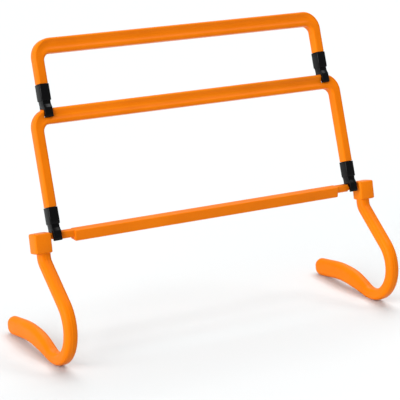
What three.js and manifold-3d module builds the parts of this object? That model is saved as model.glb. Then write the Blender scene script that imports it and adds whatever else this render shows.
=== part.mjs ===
// Three-height agility hurdle: a base bar on two S-shaped legs, with a middle hoop and an
// upper hoop that clip onto round pins with black jaws and fold about those pins.
// Millimetres, +Z up, +X along the bars, +Y to the back. Origin: middle of the standing footprint.

import * as THREE from 'three';
import { mergeVertices } from 'three/addons/utils/BufferGeometryUtils.js';
import Module from 'manifold-3d';

const wasm = await Module();
wasm.setup();

// ---- Driving dimensions ----

const GAP = 0.3; // clearance between neighbouring pieces
const CUT = 1; // how far a cutting tool reaches past the face it cuts

const PIN_HEIGHT = 153.4; // height of the middle hoop's hinge axis
const PIN_Y = -8.3; // the hinge axis sits a little in front of the footprint's middle
const PIN_RADIUS = 4;
const HOOP_LEAN = THREE.MathUtils.degToRad(19); // both hoops lean back
const BLOCK_LEAN = THREE.MathUtils.degToRad(12); // elbow blocks and leg tops lean back

// base bar
const BEAM_END = 198; // the beam runs from -BEAM_END to BEAM_END
const BEAM_SIZE = 14;
const NECK_SIZE = 9;
const NECK_END = 215.5;

// corner radius of a moulded section, and the slightly smaller radius round its ends
const BAR_ROUNDING = { corner: 2, rim: 1.5 };
const NECK_ROUNDING = { corner: 1, rim: 0.7 };

// elbow blocks and legs
const BLOCK_X = 242.8; // each block's centre
const BLOCK_Y = -1.6; // block centre, from the hinge axis
const BLOCK_Z = -6.4; // block centre, from the hinge axis
const BLOCK = { width: 22.8, depth: 20, height: 25 };
const TENON = { size: 5.6, length: 15 }; // square key on each end of the bar
const SPIGOT = { size: 10, length: 12 };
const LEG_X = 240.5; // each leg's middle plane, a little inside its block's
const LEG_WIDTH = 16;
const LEG_EDGE = 5;

// hoops: heights are measured along the hoop from its own hinge axis
const HOOP_DEPTH = 14;
const HOOP_EDGE = 3;
const HOOP_LEG_WIDTH = 13;
const HOOP_BAR_HEIGHT = 19.4;
const CORNER_OUTSIDE = 24;
const CORNER_INSIDE = 9.5;
const MIDDLE = { legX: 222.2, top: 156.5 };
const UPPER = { legX: 206.5, top: 91.5 };
const PIN_BELOW_TOP = 4.5; // the upper hinge axis below the middle hoop's top face
const GROOVE = { topLip: 3, bottomLip: 4.5, depth: 2, fade: 14 };
const POCKET = { width: 12.4, floor: 7.2 }; // floor below the upper hinge axis
const RIB = { front: -3.9, back: 4, top: 6.5 }; // stands on the pocket's floor, under the pin

// clips: heights are measured from the hinge axis, depths from it to front (-) and back (+)
const CLIP = {
  width: 13.4,
  depth: 15.4,
  corner: 1.8,
  top: 35,
  sleeveBottom: 14.2,
  jawWidth: 11,
  front: 8.8,
  waist: 6.2,
  back: 6,
  reach: 6.7,
  edge: 0.8,
};
const PLUG = { width: 7.4, depth: 8.4, length: 17 };

const ORANGE = { color: 0xf26f0a, roughness: 0.42, metalness: 0 };
const BLACK = { color: 0x17171a, roughness: 0.38, metalness: 0 };

// ---- Helpers ----

function solid(geometry) {
  const bare = geometry.clone();
  bare.deleteAttribute('normal');
  bare.deleteAttribute('uv');
  const merged = mergeVertices(bare, 1e-4);
  return new wasm.Manifold(new wasm.Mesh({
    numProp: 3,
    vertProperties: merged.attributes.position.array,
    triVerts: new Uint32Array(merged.index.array),
  }));
}

function geometryOf(manifold) {
  const { vertProperties, triVerts } = manifold.getMesh();
  const geometry = new THREE.BufferGeometry();
  geometry.setAttribute('position', new THREE.BufferAttribute(vertProperties, 3));
  geometry.setIndex(new THREE.BufferAttribute(triVerts, 1));
  geometry.computeVertexNormals();
  return geometry;
}

function block(width, depth, height, x = 0, y = 0, z = 0) {
  return new THREE.BoxGeometry(width, depth, height).translate(x, y, z);
}

function roundedRectangle(width, height, radius) {
  const w = width / 2;
  const h = height / 2;
  const shape = new THREE.Shape();
  shape.absarc(w - radius, h - radius, radius, 0, Math.PI / 2);
  shape.absarc(-w + radius, h - radius, radius, Math.PI / 2, Math.PI);
  shape.absarc(-w + radius, -h + radius, radius, Math.PI, 1.5 * Math.PI);
  shape.absarc(w - radius, -h + radius, radius, 1.5 * Math.PI, 2 * Math.PI);
  return shape;
}

// A shape extruded to a thickness centred on its plane, with its two rims rounded.
function slab(shape, thickness, edge, { edgeSteps = 3, curveSegments = 6 } = {}) {
  const geometry = new THREE.ExtrudeGeometry(shape, {
    depth: thickness - 2 * edge,
    bevelEnabled: edge > 0,
    bevelThickness: edge,
    bevelSize: edge,
    bevelOffset: -edge,
    bevelSegments: edgeSteps,
    curveSegments,
  });
  return geometry.translate(0, 0, edge - thickness / 2);
}

// Turns a slab drawn in (Y, Z) so that its thickness runs along X.
function acrossX(geometry) {
  const turn = new THREE.Matrix4().makeBasis(
    new THREE.Vector3(0, 1, 0),
    new THREE.Vector3(0, 0, 1),
    new THREE.Vector3(1, 0, 0),
  );
  return geometry.applyMatrix4(turn);
}

// Turns a slab drawn in (X, Z) so that its thickness runs along Y.
function acrossY(geometry) {
  return geometry.rotateX(Math.PI / 2);
}

function rodAlongX(radius, fromX, toX, segments = 24) {
  return new THREE.CylinderGeometry(radius, radius, toX - fromX, segments)
    .rotateZ(Math.PI / 2)
    .translate((fromX + toX) / 2, 0, 0);
}

// Follows straight runs and arcs in a plane, with a station every few millimetres of arc.
function walk(start, headingDegrees, moves, step) {
  let heading = THREE.MathUtils.degToRad(headingDegrees);
  let length = 0;
  const stations = [{ point: start.clone(), heading, length }];
  for (const { run = 0, radius = 0, turn = 0 } of moves) {
    const angle = THREE.MathUtils.degToRad(turn);
    const total = run + Math.abs(radius * angle);
    const count = turn === 0 ? 1 : Math.ceil(total / step);
    for (let i = 0; i < count; i += 1) {
      const chordHeading = heading + angle / count / 2;
      const last = stations[stations.length - 1].point;
      const chord = new THREE.Vector2(Math.cos(chordHeading), Math.sin(chordHeading));
      heading += angle / count;
      length += total / count;
      stations.push({ point: last.clone().addScaledVector(chord, total / count), heading, length });
    }
  }
  return stations;
}

// ---- Base bar ----

// Drawn about the hinge axis: the necks and pins are centred on it, the beam hangs lower.
function baseBar() {
  const beamDrop = (BEAM_SIZE - NECK_SIZE) / 2;
  const beamSection = roundedRectangle(BEAM_SIZE, BEAM_SIZE, BAR_ROUNDING.corner);
  const beam = acrossX(slab(beamSection, 2 * BEAM_END, BAR_ROUNDING.rim, { curveSegments: 3 }))
    .translate(0, 0, -beamDrop);
  const neckSection = roundedRectangle(NECK_SIZE, NECK_SIZE, NECK_ROUNDING.corner);
  const neck = acrossX(slab(neckSection, 2 * NECK_END, NECK_ROUNDING.rim, { curveSegments: 2, edgeSteps: 2 }));
  const blockFace = BLOCK_X - BLOCK.width / 2;
  const tenonEnd = blockFace + TENON.length;
  const pinEnd = blockFace - GAP;
  const pin = rodAlongX(PIN_RADIUS, -pinEnd, pinEnd);
  let bar = solid(beam).add(solid(neck)).add(solid(pin));
  for (const side of [-1, 1]) {
    const middle = side * (pinEnd - CUT + tenonEnd) / 2;
    const tenon = block(tenonEnd - pinEnd + CUT, TENON.size, TENON.size).rotateX(-BLOCK_LEAN);
    bar = bar.add(solid(tenon.translate(middle, 0, 0)));
  }
  return geometryOf(bar);
}

// ---- Elbow blocks ----

// Drawn about the block's own centre, upright, with the bar's socket in its inner face.
function elbowBlock(side) {
  const section = roundedRectangle(BLOCK.depth, BLOCK.height, BAR_ROUNDING.corner);
  const body = acrossX(slab(section, BLOCK.width, BAR_ROUNDING.rim, { curveSegments: 3 }));
  const pin = pinInBlock();
  const tenonHole = block(
    TENON.length + GAP + CUT,
    TENON.size + 2 * GAP,
    TENON.size + 2 * GAP,
    -side * (BLOCK.width / 2 - (TENON.length + GAP - CUT) / 2),
    pin.y,
    pin.z,
  );
  const spigotHole = block(
    SPIGOT.size + 2 * GAP,
    SPIGOT.size + 2 * GAP,
    SPIGOT.length + GAP + CUT,
    side * (LEG_X - BLOCK_X),
    0,
    -BLOCK.height / 2 + (SPIGOT.length + GAP - CUT) / 2,
  );
  return geometryOf(solid(body).subtract(solid(tenonHole)).subtract(solid(spigotHole)));
}

// The hinge axis in the leaning block's own frame.
function pinInBlock() {
  return new THREE.Vector3(0, -BLOCK_Y, -BLOCK_Z).applyAxisAngle(
    new THREE.Vector3(1, 0, 0),
    BLOCK_LEAN,
  );
}

// ---- Legs ----

const LEG_HEADING = -90 - THREE.MathUtils.radToDeg(BLOCK_LEAN);
const LEG_START = new THREE.Vector2(BLOCK_Y, PIN_HEIGHT + BLOCK_Z); // the elbow block's centre
const LEG_MOVES = [
  { run: 17.3 },
  { radius: 14, turn: -40 }, // sweeps forwards below the block
  { run: 61 },
  { radius: 43, turn: 160 }, // belly, then round the bend on the floor
  { run: 2 },
  { radius: 162, turn: -26.6 }, // arched foot
  { run: 29.5 },
];
const SHANK_HALF = 7.6;
const FOOT_HALF = 12.5;
const FOOT_GROWTH = { from: 195, to: 241 }; // length along the leg over which the foot thickens

function legHalfThickness(length) {
  const { from, to } = FOOT_GROWTH;
  return SHANK_HALF + (FOOT_HALF - SHANK_HALF) * THREE.MathUtils.smoothstep(length, from, to);
}

function legOutline() {
  const stations = walk(LEG_START, LEG_HEADING, LEG_MOVES, 7);
  const { point: tip, heading } = stations.pop();
  const sides = [-1, 1].map((side) => stations.map((station) => {
    const across = new THREE.Vector2(-Math.sin(station.heading), Math.cos(station.heading));
    return station.point.clone().addScaledVector(across, side * legHalfThickness(station.length));
  }));
  const shape = new THREE.Shape(sides[0]);
  shape.absarc(tip.x, tip.y, FOOT_HALF, heading - Math.PI / 2, heading + Math.PI / 2);
  sides[1].reverse().forEach((point) => shape.lineTo(point.x, point.y));
  return shape;
}

// Drawn in (Y, Z) about the hinge axis in Y and the floor in Z. The bend and the foot's tip dip
// just under the floor, which cuts flats on them to stand on.
function leg() {
  const strip = acrossX(slab(legOutline(), LEG_WIDTH, LEG_EDGE, { curveSegments: 5 }));
  const aboveLeg = block(40, 60, 40, 0, 0, 20 - BLOCK.height / 2 - GAP);
  const spigot = block(SPIGOT.size, SPIGOT.size, SPIGOT.length + CUT);
  spigot.translate(0, 0, -BLOCK.height / 2 + (SPIGOT.length - CUT) / 2 - GAP);
  for (const tool of [aboveLeg, spigot]) {
    tool.rotateX(-BLOCK_LEAN).translate(0, LEG_START.x, LEG_START.y);
  }
  const floor = block(40, 400, 20, 0, 0, -10);
  return geometryOf(
    solid(strip).subtract(solid(aboveLeg)).add(solid(spigot)).subtract(solid(floor)),
  );
}

// ---- Hoops ----

// U-shaped outline in (X, along the hoop), with legs that run on past where they are cut.
function hoopOutline({ legX, top }) {
  const outside = legX + HOOP_LEG_WIDTH / 2;
  const inside = legX - HOOP_LEG_WIDTH / 2;
  const low = CLIP.top - 10;
  const barBottom = top - HOOP_BAR_HEIGHT;
  const shape = new THREE.Shape();
  shape.moveTo(inside, low);
  shape.lineTo(outside, low);
  shape.absarc(outside - CORNER_OUTSIDE, top - CORNER_OUTSIDE, CORNER_OUTSIDE, 0, Math.PI / 2);
  shape.absarc(-outside + CORNER_OUTSIDE, top - CORNER_OUTSIDE, CORNER_OUTSIDE, Math.PI / 2, Math.PI);
  shape.lineTo(-outside, low);
  shape.lineTo(-inside, low);
  shape.absarc(-inside + CORNER_INSIDE, barBottom - CORNER_INSIDE, CORNER_INSIDE, Math.PI, Math.PI / 2, true);
  shape.absarc(inside - CORNER_INSIDE, barBottom - CORNER_INSIDE, CORNER_INSIDE, Math.PI / 2, 0, true);
  return shape;
}

// A long roller that presses a shallow channel into the bar's face and fades out at its ends.
function grooveRoller({ legX, top }) {
  const reach = (HOOP_BAR_HEIGHT - GROOVE.topLip - GROOVE.bottomLip) / 2;
  const radius = (reach ** 2 + GROOVE.depth ** 2) / (2 * GROOVE.depth);
  const half = legX + HOOP_LEG_WIDTH / 2 - CORNER_OUTSIDE;
  const profile = [
    new THREE.Vector2(0, -half - GROOVE.fade),
    new THREE.Vector2(radius - GROOVE.depth - CUT, -half - GROOVE.fade),
    new THREE.Vector2(radius - GROOVE.depth / 2, -half - GROOVE.fade / 3),
    new THREE.Vector2(radius, -half),
    new THREE.Vector2(radius, half),
    new THREE.Vector2(radius - GROOVE.depth / 2, half + GROOVE.fade / 3),
    new THREE.Vector2(radius - GROOVE.depth - CUT, half + GROOVE.fade),
    new THREE.Vector2(0, half + GROOVE.fade),
  ];
  return new THREE.LatheGeometry(profile, 40)
    .rotateZ(-Math.PI / 2)
    .translate(0, HOOP_DEPTH / 2 - GROOVE.depth + radius, top - GROOVE.topLip - reach);
}

function plugSocket(x) {
  return block(
    PLUG.width + 2 * GAP,
    PLUG.depth + 2 * GAP,
    PLUG.length + GAP + CUT,
    x,
    0,
    CLIP.top + GAP + (PLUG.length + GAP - CUT) / 2,
  );
}

function hoop(size) {
  const outline = slab(hoopOutline(size), HOOP_DEPTH, HOOP_EDGE, { curveSegments: 9 });
  let body = solid(acrossY(outline));
  for (const side of [-1, 1]) {
    const below = block(40, 40, 40, side * size.legX, 0, CLIP.top + GAP - 20);
    const roller = grooveRoller(size).rotateZ(side > 0 ? 0 : Math.PI);
    body = body.subtract(solid(below)).subtract(solid(plugSocket(side * size.legX))).subtract(solid(roller));
  }
  return body;
}

// The middle hoop's bar has an open pocket at each end, crossed by the upper hoop's hinge pin
// and by a low rib under it.
function middleHoop() {
  let body = hoop(MIDDLE);
  const axisHeight = MIDDLE.top - PIN_BELOW_TOP;
  const ribHeight = POCKET.floor - RIB.top + CUT;
  const ribDepth = RIB.back - RIB.front;
  for (const side of [-1, 1]) {
    const x = side * UPPER.legX;
    const height = POCKET.floor + PIN_BELOW_TOP + CUT;
    const pocket = block(POCKET.width, HOOP_DEPTH + 2 * CUT, height, x, 0, axisHeight - POCKET.floor + height / 2);
    const half = POCKET.width / 2 + CUT;
    const pin = rodAlongX(PIN_RADIUS, x - half, x + half).translate(0, 0, axisHeight);
    const rib = block(2 * half, ribDepth, ribHeight, x, RIB.front + ribDepth / 2, axisHeight - RIB.top - ribHeight / 2);
    body = body.subtract(solid(pocket)).add(solid(pin)).add(solid(rib));
  }
  return geometryOf(body);
}

function upperHoop() {
  return geometryOf(hoop(UPPER));
}

// ---- Clips ----

// Side view of the jaw in (Y, Z) about the hinge axis: it opens downwards, with a long front
// finger that has a sloping shoulder and a short lip behind the pin.
function jawOutline() {
  const bore = PIN_RADIUS + GAP;
  const { front, waist, back, reach, sleeveBottom } = CLIP;
  const lipAngle = THREE.MathUtils.degToRad(-38);
  const shape = new THREE.Shape();
  shape.moveTo(-bore - GAP, -reach);
  shape.lineTo(-front + 1, -reach);
  shape.lineTo(-front, -reach + 1);
  shape.lineTo(-front, 5.5);
  shape.lineTo(-waist, 9.6);
  shape.lineTo(-waist, sleeveBottom + 2);
  shape.lineTo(back + 1, sleeveBottom + 2);
  shape.lineTo(back, 9);
  shape.lineTo(back, -1);
  shape.lineTo(bore + 0.6, -3.7);
  shape.absarc(0, 0, bore, lipAngle, Math.PI);
  return shape;
}

function clip() {
  const section = roundedRectangle(CLIP.width, CLIP.depth, CLIP.corner);
  const sleeveHeight = CLIP.top - CLIP.sleeveBottom;
  const sleeve = slab(section, sleeveHeight, CLIP.edge, { curveSegments: 4, edgeSteps: 1 })
    .translate(0, 0, CLIP.sleeveBottom + sleeveHeight / 2);
  const jaw = acrossX(slab(jawOutline(), CLIP.jawWidth, CLIP.edge, { curveSegments: 12, edgeSteps: 1 }));
  const plug = block(PLUG.width, PLUG.depth, PLUG.length + CUT, 0, 0, CLIP.top + (PLUG.length - CUT) / 2);
  return geometryOf(solid(sleeve).add(solid(jaw)).add(solid(plug)));
}

// ---- Assembly ----

function piece(name, geometry, finish, parent) {
  const mesh = new THREE.Mesh(geometry, new THREE.MeshStandardMaterial(finish));
  mesh.name = name;
  parent.add(mesh);
  return mesh;
}

const hurdle = new THREE.Group();

const barFrame = new THREE.Group();
barFrame.position.set(0, PIN_Y, PIN_HEIGHT);
hurdle.add(barFrame);
piece('base_bar', baseBar(), ORANGE, barFrame);

const sides = { left: -1, right: 1 };
for (const [name, side] of Object.entries(sides)) {
  const elbow = piece(`elbow_${name}`, elbowBlock(side), ORANGE, barFrame);
  elbow.position.set(side * BLOCK_X, BLOCK_Y, BLOCK_Z);
  elbow.rotation.x = -BLOCK_LEAN;
  piece(`leg_${name}`, leg(), ORANGE, hurdle).position.set(side * LEG_X, PIN_Y, 0);
}

const middleFrame = new THREE.Group();
middleFrame.rotation.x = -HOOP_LEAN;
barFrame.add(middleFrame);
piece('middle_hoop', middleHoop(), ORANGE, middleFrame);

const upperFrame = new THREE.Group();
upperFrame.position.z = MIDDLE.top - PIN_BELOW_TOP;
middleFrame.add(upperFrame);
piece('upper_hoop', upperHoop(), ORANGE, upperFrame);

for (const [name, side] of Object.entries(sides)) {
  piece(`middle_clip_${name}`, clip(), BLACK, middleFrame).position.x = side * MIDDLE.legX;
  piece(`upper_clip_${name}`, clip(), BLACK, upperFrame).position.x = side * UPPER.legX;
}

export default hurdle;
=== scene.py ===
"""The agility hurdle's looks: orange moulded plastic with black clips, on a pale studio floor.

Shapes are worked out in millimetres in the same local frames as the CAD model's, then scaled to
metres and put in their place when a piece is finished.
"""

import math

import bmesh
import bpy
from mathutils import Matrix, Vector


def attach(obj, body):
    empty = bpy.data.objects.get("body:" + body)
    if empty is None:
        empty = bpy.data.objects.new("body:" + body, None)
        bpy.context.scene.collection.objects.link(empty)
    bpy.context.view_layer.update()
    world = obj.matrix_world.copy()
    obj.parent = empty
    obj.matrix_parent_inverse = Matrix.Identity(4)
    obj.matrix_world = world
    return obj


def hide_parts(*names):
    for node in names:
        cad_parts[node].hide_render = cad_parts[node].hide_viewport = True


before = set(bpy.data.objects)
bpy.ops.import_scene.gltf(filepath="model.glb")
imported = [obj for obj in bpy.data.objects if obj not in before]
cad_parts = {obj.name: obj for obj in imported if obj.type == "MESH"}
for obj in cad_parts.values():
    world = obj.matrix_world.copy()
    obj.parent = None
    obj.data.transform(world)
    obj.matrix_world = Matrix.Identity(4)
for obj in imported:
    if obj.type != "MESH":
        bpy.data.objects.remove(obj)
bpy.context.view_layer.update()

# ---- Dimensions in millimetres: the CAD model's, apart from edge roundings and pocket width ----

MM = 0.001
GAP = 0.3
PIN_Y = -8.3
PIN_HEIGHT = 153.4
PIN_RADIUS = 4.0
HOOP_LEAN = math.radians(19)
BLOCK_LEAN = math.radians(12)

BEAM_END = 198.0
BEAM_HALF = 7.0
BEAM_CORNER = 1.6
END_SIDE_ROUNDING = 1.9
END_BOTTOM_ROUNDING = 2.7
NECK_HALF = 4.5
NECK_END = 215.5
NECK_CORNER = 1.0
BEAM_TOP = NECK_HALF  # above the hinge axis, flush with the necks
BEAM_BOTTOM = BEAM_TOP - 2 * BEAM_HALF

BLOCK = Vector((22.8, 20.0, 25.0))
BLOCK_X = 242.8
BLOCK_Y = -1.6  # block centre, from the hinge axis
BLOCK_Z = -6.4  # block centre, from the hinge axis
BLOCK_RIM = 1.8
BLOCK_CORNER = 2.4
BLOCK_DRAFT = 0.15

LEG_X = 240.5
LEG_HALF_WIDTH = 8.0
LEG_EDGE = 5.5
FOOT_EDGE = 7.8
LEG_HEADING = math.radians(-90) - BLOCK_LEAN
LEG_MOVES = [  # (straight run, arc radius, turn in degrees), from the block's centre
    (17.3, 0, 0),
    (0, 14, -40),
    (61, 0, 0),
    (0, 43, 160),
    (2, 0, 0),
    (0, 162, -26.6),
    (29.5, 0, 0),
]
SHANK_HALF = 7.6
FOOT_HALF = 12.5
FOOT_GROWTH = (195.0, 241.0)  # length along the leg over which the foot thickens
PARTING_LINE = ((0.45, 0.0), (0.15, 0.14), (-0.15, 0.14), (-0.45, 0.0))  # (across, height)

HOOP_HALF_DEPTH = 7.0
HOOP_LEG_WIDTH = 13.0
HOOP_BAR_HEIGHT = 19.4
HOOP_EDGE = 2.6
CORNER_OUTSIDE = 24.0
CORNER_INSIDE = 9.5
MIDDLE_LEG_X, MIDDLE_TOP = 222.2, 156.5
UPPER_LEG_X, UPPER_TOP = 206.5, 91.5
GROOVE_DEPTH = 2.0
TOP_LIP = 3.0
BOTTOM_LIP = 4.5
UPPER_PIN = MIDDLE_TOP - 4.5  # the upper hinge axis above the lower one, along the middle hoop
POCKET_WIDTH = 11.8
POCKET_CORNER = 1.2
POCKET_FLOOR = 7.2  # below the upper hinge axis
RIB_FRONT, RIB_BACK, RIB_TOP = -3.9, 4.0, 6.5  # under the pin, in each pocket

CLIP_TOP = 35.0
CLIP_WIDTH = 13.4
CLIP_DEPTH = 15.4
SLEEVE_BOTTOM = 14.2
SLEEVE_CORNER = 1.8
JAW_WIDTH = 11.0
JAW_EDGE = 0.6
HOOP_START = CLIP_TOP + GAP  # where the hoops' legs begin, above their own hinge axis

BAR_FRAME = Matrix.Translation((0, PIN_Y, PIN_HEIGHT))
MIDDLE_FRAME = BAR_FRAME @ Matrix.Rotation(-HOOP_LEAN, 4, "X")
UPPER_FRAME = MIDDLE_FRAME @ Matrix.Translation((0, 0, UPPER_PIN))

ORANGE = "orange_plastic"
BLACK = "black_plastic"


# ---- Mesh helpers ----

def smoothstep(value, low, high):
    t = min(max((value - low) / (high - low), 0.0), 1.0)
    return t * t * (3 - 2 * t)


def rounded_rectangle(half_width, half_height, radius, steps=5):
    """Points (u, v) round a rectangle with rounded corners, anticlockwise from its right side."""
    radius = min(radius, half_width, half_height)
    corners = [(1, 1), (-1, 1), (-1, -1), (1, -1)]
    points = []
    for quarter, (side_u, side_v) in enumerate(corners):
        for step in range(steps + 1):
            angle = math.pi / 2 * (quarter + step / steps)
            u = side_u * (half_width - radius) + radius * math.cos(angle)
            v = side_v * (half_height - radius) + radius * math.sin(angle)
            points.append((u, v))
    return points


def extruded(outline, low, high):
    """Two rings in the planes x = low and x = high, from an outline of (y, z) points."""
    return [[Vector((x, y, z)) for y, z in outline] for x in (low, high)]


def mirrored(sections):
    return [[Vector((-p.x, p.y, p.z)) for p in section] for section in sections]


def loft(sections):
    """A closed skin through rings of points, with a flat cap on the first and the last."""
    count = len(sections[0])
    mesh = bmesh.new()
    rings = [[mesh.verts.new(point) for point in section] for section in sections]
    for ring, following in zip(rings, rings[1:]):
        for j in range(count):
            k = (j + 1) % count
            mesh.faces.new((ring[j], ring[k], following[k], following[j]))
    mesh.faces.new(reversed(rings[0]))
    mesh.faces.new(rings[-1])
    bmesh.ops.remove_doubles(mesh, verts=mesh.verts, dist=1e-4)
    bmesh.ops.recalc_face_normals(mesh, faces=mesh.faces)
    return mesh


def as_object(mesh, name):
    data = bpy.data.meshes.new(name)
    mesh.to_mesh(data)
    mesh.free()
    piece = bpy.data.objects.new(name, data)
    bpy.context.scene.collection.objects.link(piece)
    return piece


def combine(piece, other, operation):
    """Joins the other solid to the piece, or cuts it out of it, and removes the other."""
    modifier = piece.modifiers.new("combine", "BOOLEAN")
    modifier.object = other
    modifier.operation = operation
    modifier.solver = "EXACT"
    depsgraph = bpy.context.evaluated_depsgraph_get()
    result = bpy.data.meshes.new_from_object(piece.evaluated_get(depsgraph))
    piece.modifiers.clear()
    piece.data = result
    bpy.data.objects.remove(other)


def round_edges(piece, is_rounded, width, segments=2):
    """Rounds the sharp edges whose middle point passes the test."""
    mesh = bmesh.new()
    mesh.from_mesh(piece.data)
    edges = [
        edge for edge in mesh.edges
        if edge.is_manifold
        and edge.calc_face_angle() > math.radians(40)
        and is_rounded((edge.verts[0].co + edge.verts[1].co) / 2)
    ]
    bmesh.ops.bevel(mesh, geom=edges, offset=width, segments=segments, profile=0.5,
                    affect="EDGES", clamp_overlap=True)
    mesh.to_mesh(piece.data)
    mesh.free()


def finish_piece(piece, place, material, body, *nodes):
    """Puts a piece drawn in millimetres in its place, and ties it to the CAD."""
    piece.data.transform(Matrix.Scale(MM, 4) @ place)
    piece.data.shade_smooth()
    piece.data.set_sharp_from_angle(angle=math.radians(38))
    piece.data.materials.clear()
    piece.data.materials.append(MATERIALS[material])
    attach(piece, body)
    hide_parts(*nodes)


# ---- Materials ----

def node(tree, kind, **settings):
    made = tree.nodes.new(kind)
    for name, value in settings.items():
        setattr(made, name, value)
    return made


def noise(tree, coordinates, scale, detail=3.0):
    made = node(tree, "ShaderNodeTexNoise")
    made.inputs["Scale"].default_value = scale
    made.inputs["Detail"].default_value = detail
    tree.links.new(coordinates, made.inputs["Vector"])
    return made.outputs["Fac"]


def ramp(tree, value, *stops):
    """A colour ramp from (position, grey level) stops."""
    made = node(tree, "ShaderNodeValToRGB")
    elements = made.color_ramp.elements
    while len(elements) < len(stops):
        elements.new(0.5)
    for element, (position, level) in zip(elements, stops):
        element.position = position
        element.color = (level, level, level, 1)
    tree.links.new(value, made.inputs["Fac"])
    return made.outputs["Color"]


def mix(tree, factor, a, b):
    made = node(tree, "ShaderNodeMix", data_type="RGBA")
    for socket, value in ((made.inputs[0], factor), (made.inputs[6], a), (made.inputs[7], b)):
        if isinstance(value, bpy.types.NodeSocket):
            tree.links.new(value, socket)
        else:
            socket.default_value = value
    return made.outputs[2]


def scuff_mask(tree, where):
    """Faint scratches drawn out along X, in scattered patches."""
    stretched = node(tree, "ShaderNodeMapping")
    stretched.inputs["Scale"].default_value = (0.25, 1.0, 1.0)
    tree.links.new(where, stretched.inputs["Vector"])
    scuffs = ramp(tree, noise(tree, stretched.outputs[0], 260.0, 6.0), (0.62, 0.0), (0.72, 1.0))
    patches = ramp(tree, noise(tree, where, 22.0), (0.5, 0.0), (0.62, 1.0))
    product = node(tree, "ShaderNodeMath", operation="MULTIPLY")
    tree.links.new(scuffs, product.inputs[0])
    tree.links.new(patches, product.inputs[1])
    return product.outputs[0]


def plastic_colour(tree, where, scuffed, base, deep, worn):
    """Slow drift between two shades, with fine speckle, paler edges and paler scuffs."""
    drift = ramp(tree, noise(tree, where, 14.0), (0.35, 0.0), (0.7, 1.0))
    speckle = ramp(tree, noise(tree, where, 900.0, 2.0), (0.45, 0.0), (0.75, 1.0))
    pointiness = node(tree, "ShaderNodeNewGeometry").outputs["Pointiness"]
    colour = mix(tree, drift, base, deep)
    colour = mix(tree, ramp(tree, speckle, (0.0, 0.0), (1.0, 0.12)), colour, worn)
    colour = mix(tree, ramp(tree, pointiness, (0.52, 0.0), (0.62, 0.35)), colour, worn)
    return mix(tree, ramp(tree, scuffed, (0.0, 0.0), (1.0, 0.18)), colour, worn)


def plastic_roughness(tree, where, scuffed, roughness):
    """Cloudy changes of gloss, duller where the plastic is scuffed."""
    gloss = node(tree, "ShaderNodeMapRange")
    gloss.inputs["To Min"].default_value = roughness - 0.05
    gloss.inputs["To Max"].default_value = roughness + 0.07
    tree.links.new(noise(tree, where, 60.0, 4.0), gloss.inputs["Value"])
    duller = node(tree, "ShaderNodeMath", operation="MULTIPLY_ADD")
    duller.inputs[1].default_value = 0.16
    tree.links.new(scuffed, duller.inputs[0])
    tree.links.new(gloss.outputs[0], duller.inputs[2])
    return duller.outputs[0]


def bump(tree, height, strength, distance):
    made = node(tree, "ShaderNodeBump")
    made.inputs["Strength"].default_value = strength
    made.inputs["Distance"].default_value = distance
    tree.links.new(height, made.inputs["Height"])
    return made


def plastic_relief(tree, where, grain):
    """A spark-eroded grain over broad, shallow sink marks."""
    fine = bump(tree, noise(tree, where, 2600.0, 2.0), grain, 0.00008)
    sink = bump(tree, noise(tree, where, 45.0, 2.0), 0.25, 0.0004)
    tree.links.new(fine.outputs[0], sink.inputs["Normal"])
    return sink.outputs[0]


def moulded_plastic(name, base, deep, worn, roughness, shine, grain):
    material = bpy.data.materials.new(name)
    material.use_nodes = True
    tree = material.node_tree
    tree.nodes.clear()
    output = node(tree, "ShaderNodeOutputMaterial")
    shader = node(tree, "ShaderNodeBsdfPrincipled")
    tree.links.new(shader.outputs[0], output.inputs["Surface"])
    where = node(tree, "ShaderNodeTexCoord").outputs["Object"]
    scuffed = scuff_mask(tree, where)
    looks = {
        "Base Color": plastic_colour(tree, where, scuffed, base, deep, worn),
        "Roughness": plastic_roughness(tree, where, scuffed, roughness),
        "Normal": plastic_relief(tree, where, grain),
    }
    for socket, value in looks.items():
        tree.links.new(value, shader.inputs[socket])
    shader.inputs["IOR"].default_value = 1.49
    shader.inputs["Specular IOR Level"].default_value = shine
    return material


MATERIALS = {
    ORANGE: moulded_plastic(
        ORANGE,
        base=(0.77, 0.176, 0.0012, 1),
        deep=(0.71, 0.153, 0.0008, 1),
        worn=(0.84, 0.28, 0.015, 1),
        roughness=0.34,
        shine=0.06,
        grain=0.35,
    ),
    BLACK: moulded_plastic(
        BLACK,
        base=(0.0009, 0.0009, 0.0010, 1),
        deep=(0.0005, 0.0005, 0.0006, 1),
        worn=(0.010, 0.010, 0.011, 1),
        roughness=0.20,
        shine=0.12,
        grain=0.12,
    ),
}


# ---- Base bar ----

def bar_section(x, low, high, half_depth, radius):
    """A ring round the base bar at x, between two heights about the hinge axis."""
    middle = (low + high) / 2
    points = rounded_rectangle(half_depth, (high - low) / 2, radius, steps=6)
    return [Vector((x, y, z + middle)) for y, z in points]


def half_bar_sections():
    """Rings from just inside the elbow block, along the pin and the neck, to the full beam."""
    pin_end = BLOCK_X - BLOCK.x / 2 + 0.4  # just inside the block
    sections = [
        bar_section(x, -PIN_RADIUS, PIN_RADIUS, PIN_RADIUS, PIN_RADIUS)
        for x in (pin_end, NECK_END)
    ]
    for inset, x in ((0.6, NECK_END), (0.2, NECK_END - 0.2), (0.0, NECK_END - 0.6), (0.0, BEAM_END)):
        half = NECK_HALF - inset
        sections.append(bar_section(x, -half, half, half, NECK_CORNER))
    for step in range(6):
        angle = math.pi / 2 * step / 5
        narrowing = 1 - math.sin(angle)
        low = BEAM_BOTTOM + END_BOTTOM_ROUNDING * narrowing
        half_depth = BEAM_HALF - END_SIDE_ROUNDING * narrowing
        x = BEAM_END - END_SIDE_ROUNDING * (1 - math.cos(angle))
        sections.append(bar_section(x, low, BEAM_TOP, half_depth, BEAM_CORNER))
    return sections


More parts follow.
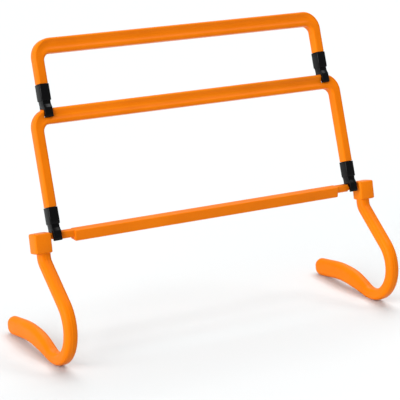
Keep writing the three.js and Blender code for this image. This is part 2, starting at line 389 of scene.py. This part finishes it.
def base_bar():
    right = half_bar_sections()
    piece = as_object(loft(right + mirrored(right)[::-1]), "base_bar_skin")
    finish_piece(piece, BAR_FRAME, ORANGE, "stand", "base_bar")


# ---- Elbow blocks ----

def elbow_block(side, name):
    """A softly rounded block with a little draft towards its top and bottom rims."""
    half = BLOCK / 2
    rings = [  # (height, inset) up the bottom rim
        (-half.z, BLOCK_RIM),
        (-half.z + 0.35, 0.85),
        (-half.z + 0.95, 0.25),
        (-half.z + BLOCK_RIM, 0.0),
    ]
    rings += [(-z, inset) for z, inset in reversed(rings)]
    sections = []
    for z, inset in rings:
        narrowing = inset + BLOCK_DRAFT * abs(z) / half.z
        points = rounded_rectangle(half.x - narrowing, half.y - narrowing, BLOCK_CORNER)
        sections.append([Vector((x, y, z)) for x, y in points])
    piece = as_object(loft(sections), f"elbow_{name}_skin")
    place = BAR_FRAME @ Matrix.Translation((side * BLOCK_X, BLOCK_Y, BLOCK_Z))
    place = place @ Matrix.Rotation(-BLOCK_LEAN, 4, "X")
    finish_piece(piece, place, ORANGE, "stand", f"elbow_{name}")


# ---- Legs ----

def walk(start, heading, moves, step):
    """Stations (point, heading, length) along straight runs and arcs in a plane."""
    point, length = start.copy(), 0.0
    stations = [(point.copy(), heading, length)]
    for run, radius, turn in moves:
        angle = math.radians(turn)
        total = run + abs(radius * angle)
        count = max(1, round(total / step))
        for _ in range(count):
            chord = heading + angle / count / 2
            point = point + Vector((math.cos(chord), math.sin(chord))) * (total / count)
            heading += angle / count
            length += total / count
            stations.append((point.copy(), heading, length))
    return stations


def leg_ring(point, heading, half_width, half_thickness, edge):
    """A rounded rectangle across the leg, with the parting line where it crosses the middle."""
    across = Vector((-math.sin(heading), math.cos(heading)))
    ring = []
    for u, v in rounded_rectangle(half_width, half_thickness, edge, steps=7):
        if ring and ring[-1][0] * u < 0:
            face = math.copysign(1, v)
            ring += [(face * offset, v + face * height) for offset, height in PARTING_LINE]
        ring.append((u, v))
    return [Vector((u, *(point + across * v))) for u, v in ring]


def tip_rings(tip, heading):
    """Rings that close the foot with a half-round tip."""
    forward = Vector((math.cos(heading), math.sin(heading)))
    rings = []
    for degrees in (12, 24, 36, 48, 58, 67, 75, 82):
        angle = math.radians(degrees)
        left = FOOT_HALF * (1 - math.sin(angle))
        inset = FOOT_EDGE - math.sqrt(FOOT_EDGE ** 2 - max(FOOT_EDGE - left, 0) ** 2)
        centre = tip + forward * FOOT_HALF * math.sin(angle)
        half = FOOT_HALF * math.cos(angle)
        rings.append(leg_ring(centre, heading, LEG_HALF_WIDTH - inset, half, FOOT_EDGE))
    return rings


def leg_sections():
    """Rings from just inside the elbow block down the S and out to the tip of the foot."""
    sections = []
    block_centre = Vector((BLOCK_Y, PIN_HEIGHT + BLOCK_Z))
    inside_block = BLOCK.z / 2 - 3
    stations = walk(block_centre, LEG_HEADING, LEG_MOVES, 3.0)
    for point, heading, length in stations:
        if length >= inside_block:
            growth = smoothstep(length, *FOOT_GROWTH)
            half = SHANK_HALF + (FOOT_HALF - SHANK_HALF) * growth
            edge = LEG_EDGE + (FOOT_EDGE - LEG_EDGE) * growth
            sections.append(leg_ring(point, heading, LEG_HALF_WIDTH, half, edge))
    tip, heading, _ = stations[-1]
    return sections + tip_rings(tip, heading)


def leg(side, name):
    sections = leg_sections()
    for section in sections:
        for point in section:
            point.z = max(point.z, 0.0)  # flats to stand on
    piece = as_object(loft(sections), f"leg_{name}_skin")
    place = Matrix.Translation((side * LEG_X, PIN_Y, 0))
    finish_piece(piece, place, ORANGE, "stand", f"leg_{name}")


# ---- Hoops ----

def hoop_profile(half_height, groove):
    """Ring (u, v): u from the inside to the outside of the hoop, v from front (-) to back.

    The front and the back face are pressed in by a shallow channel of the given depth.
    """
    low = -half_height + BOTTOM_LIP
    high = half_height - TOP_LIP
    middle, reach = (low + high) / 2, (high - low) / 2
    face = []
    for t in (-1.06, -0.94, -0.75, -0.5, -0.25, 0.0, 0.25, 0.5, 0.75, 0.94, 1.06):
        sink = groove * max(1 - t * t, 0.0)
        face.append((middle + t * reach, HOOP_HALF_DEPTH - sink))
    back = face[::-1]
    front = [(u, -v) for u, v in face]
    corners = rounded_rectangle(half_height, HOOP_HALF_DEPTH, HOOP_EDGE)
    quarter = len(corners) // 4
    return corners[:quarter] + back + corners[quarter:3 * quarter] + front + corners[3 * quarter:]


def hoop_ring(outside, inside, groove, inset=0.0):
    """The hoop's section between its outer and inner edge, drawn in by the inset."""
    middle = (outside + inside) / 2
    across = (outside - inside).normalized()
    half = (outside - inside).length / 2 - inset
    depth_share = (HOOP_HALF_DEPTH - inset) / HOOP_HALF_DEPTH
    return [
        Vector((middle.x + across.x * u, v * depth_share, middle.y + across.y * u))
        for u, v in hoop_profile(half, GROOVE_DEPTH * groove)
    ]


def hoop_rings(leg_x, top):
    """Rings up the right leg and round the corner, to where the straight bar begins."""
    outer_x = leg_x + HOOP_LEG_WIDTH / 2
    inner_x = leg_x - HOOP_LEG_WIDTH / 2
    outer = Vector((outer_x - CORNER_OUTSIDE, top - CORNER_OUTSIDE))
    inner = Vector((inner_x - CORNER_INSIDE, top - HOOP_BAR_HEIGHT - CORNER_INSIDE))
    leg_stations = [  # (height, inset) up from the leg's rounded end
        (HOOP_START, 0.5),
        (HOOP_START + 0.15, 0.15),
        (HOOP_START + 0.5, 0.0),
        ((HOOP_START + min(outer.y, inner.y)) / 2, 0.0),
    ]
    rings = [
        hoop_ring(Vector((outer_x, height)), Vector((inner_x, height)), 0.0, inset)
        for height, inset in leg_stations
    ]
    for step in range(17):
        share = step / 16
        angle = math.pi / 2 * share
        turn = Vector((math.cos(angle), math.sin(angle)))
        groove = smoothstep(share, 0.15, 1.0)
        rings.append(hoop_ring(outer + turn * CORNER_OUTSIDE, inner + turn * CORNER_INSIDE, groove))
    return rings


def hoop(name, leg_x, top):
    right = hoop_rings(leg_x, top)
    return as_object(loft(right + mirrored(right)[::-1]), name)


def pocket(x):
    """The open space to cut out of the middle hoop's bar, through to its top."""
    floor = UPPER_PIN - POCKET_FLOOR
    height = MIDDLE_TOP + 6 - floor
    depth = HOOP_HALF_DEPTH + 2
    outline = rounded_rectangle(POCKET_WIDTH / 2, height / 2, POCKET_CORNER)
    rings = [
        [Vector((x + u, y, floor + height / 2 + v)) for u, v in outline]
        for y in (-depth, depth)
    ]
    return as_object(loft(rings), "pocket")


def pocket_pin(x, half, segments=48):
    ring = []
    for i in range(segments):
        angle = math.tau * i / segments
        ring.append((PIN_RADIUS * math.cos(angle), UPPER_PIN + PIN_RADIUS * math.sin(angle)))
    return as_object(loft(extruded(ring, x - half, x + half)), "pin")


def pocket_rib(x, half):
    """A low wall across a pocket's floor, with a rounded top, under the hinge pin."""
    reach = (RIB_BACK - RIB_FRONT) / 2
    height = POCKET_FLOOR - RIB_TOP + 1
    ring = [
        (RIB_FRONT + reach + u, UPPER_PIN - RIB_TOP - height / 2 + v)
        for u, v in rounded_rectangle(reach, height / 2, 0.4)
    ]
    return as_object(loft(extruded(ring, x - half, x + half)), "rib")


def add_hinge(piece, x):
    """Opens a pocket in the middle hoop's bar, with a pin and a rib across it."""
    floor = UPPER_PIN - POCKET_FLOOR
    half = POCKET_WIDTH / 2 + 1  # a little past the pocket's walls

    def on_rim(point):
        return abs(point.x - x) < half and point.z > floor - 1 and abs(point.y) > 3

    combine(piece, pocket(x), "DIFFERENCE")
    round_edges(piece, on_rim, 0.4)
    combine(piece, pocket_pin(x, half), "UNION")
    combine(piece, pocket_rib(x, half), "UNION")


def middle_hoop():
    """Its bar has an open pocket at each end, with the upper hoop's hinge pin across it."""
    piece = hoop("middle_hoop_skin", MIDDLE_LEG_X, MIDDLE_TOP)
    for side in (-1, 1):
        add_hinge(piece, side * UPPER_LEG_X)
    finish_piece(piece, MIDDLE_FRAME, ORANGE, "middle_section", "middle_hoop")


def upper_hoop():
    piece = hoop("upper_hoop_skin", UPPER_LEG_X, UPPER_TOP)
    finish_piece(piece, UPPER_FRAME, ORANGE, "upper_section", "upper_hoop")


# ---- Clips ----

def jaw_outline():
    """Side view (y, z) of the open-bottomed jaw: a long front finger and a short back lip."""
    bore = PIN_RADIUS + GAP
    points = [(-4.6, -6.1), (-5.1, -6.7), (-7.4, -6.7), (-8.3, -6.3), (-8.8, -5.3), (-8.8, 4.9)]
    points += [(-8.5, 5.8), (-6.5, 9.4), (-6.2, 10.3), (-6.2, 17.0)]
    points += [(7.1, 17.0), (6.9, 14.0), (6.0, 9.0), (6.0, -1.0), (5.6, -2.6), (4.6, -3.7)]
    start, end = math.radians(-38), math.pi
    for step in range(25):
        angle = start + (end - start) * step / 24
        points.append((bore * math.cos(angle), bore * math.sin(angle)))
    return points


def upright(name, half_width, half_depth, radius, heights_and_insets):
    """A rounded box that stands along the hoop's leg, drawn in by an inset at each height."""
    rings = []
    for z, inset in heights_and_insets:
        points = rounded_rectangle(half_width - inset, half_depth - inset, radius)
        rings.append([Vector((x, y, z)) for x, y in points])
    return as_object(loft(rings), name)


def sleeve():
    rims = [
        (SLEEVE_BOTTOM, 0.7),
        (SLEEVE_BOTTOM + 0.2, 0.2),
        (SLEEVE_BOTTOM + 0.7, 0.0),
        (CLIP_TOP - 0.5, 0.0),
        (CLIP_TOP - 0.15, 0.15),
        (CLIP_TOP, 0.5),
    ]
    return upright("sleeve", CLIP_WIDTH / 2, CLIP_DEPTH / 2, SLEEVE_CORNER, rims)


def stub():
    """The root of the plug, which shows as a dark line in the gap below the hoop's leg."""
    ends = [(CLIP_TOP - 2, 1.6), (HOOP_START + 0.2, 1.6)]
    return upright("stub", CLIP_WIDTH / 2, HOOP_HALF_DEPTH, 1.5, ends)


def clip(name, x, place, body):
    half = JAW_WIDTH / 2
    piece = as_object(loft(extruded(jaw_outline(), -half, half)), f"{name}_skin")
    round_edges(piece, lambda point: abs(abs(point.x) - half) < 0.01, JAW_EDGE, segments=3)
    combine(piece, sleeve(), "UNION")
    combine(piece, stub(), "UNION")
    finish_piece(piece, place @ Matrix.Translation((x, 0, 0)), BLACK, body, name)


# ---- Build every piece ----

base_bar()
for side_name, side_sign in (("left", -1), ("right", 1)):
    elbow_block(side_sign, side_name)
    leg(side_sign, side_name)
    clip(f"middle_clip_{side_name}", side_sign * MIDDLE_LEG_X, MIDDLE_FRAME, "middle_section")
    clip(f"upper_clip_{side_name}", side_sign * UPPER_LEG_X, UPPER_FRAME, "upper_section")
middle_hoop()
upper_hoop()


# ---- Stage, lights and camera ----

def pale_floor():
    mesh = bmesh.new()
    bmesh.ops.create_grid(mesh, x_segments=1, y_segments=1, size=12)
    floor = as_object(mesh, "floor")
    material = bpy.data.materials.new("floor")
    material.use_nodes = True
    shader = material.node_tree.nodes["Principled BSDF"]
    # a touch less red, against the orange that the legs throw into their shadows
    shader.inputs["Base Color"].default_value = (0.622, 0.64, 0.645, 1)
    shader.inputs["Roughness"].default_value = 0.6
    shader.inputs["Specular IOR Level"].default_value = 0.2
    floor.data.materials.append(material)


def soft_light(name, towards, spread, strength):
    """A light as wide as a big soft box, far enough away to light the whole floor evenly."""
    data = bpy.data.lights.new(name, "SUN")
    data.angle = math.radians(spread)
    data.energy = strength
    light = bpy.data.objects.new(name, data)
    light.rotation_euler = towards.to_track_quat("Z", "Y").to_euler()
    bpy.context.scene.collection.objects.link(light)


def studio():
    world = bpy.data.worlds.new("studio")
    world.use_nodes = True
    background = world.node_tree.nodes["Background"]
    background.inputs["Color"].default_value = (1, 1, 1, 1)
    background.inputs["Strength"].default_value = 0.45
    bpy.context.scene.world = world
    soft_light("top", Vector((0.30, 0.42, 0.86)), 50, 2.2)
    soft_light("side", Vector((-0.88, -0.28, 0.38)), 50, 3.2)
    soft_light("key", Vector((0.46, -0.18, 0.87)), 18, 0.6)


def camera():
    data = bpy.data.cameras.new("camera")
    data.sensor_width = 36
    data.lens = 151.48
    data.clip_end = 50
    eye = bpy.data.objects.new("camera", data)
    eye.location = (-1.0761, -1.8051, 0.7592)
    eye.rotation_euler = (math.radians(74.208), 0, math.radians(-30.562))
    bpy.context.scene.collection.objects.link(eye)
    bpy.context.scene.camera = eye


pale_floor()
studio()
camera()
bpy.context.scene.view_settings.view_transform = "Standard"
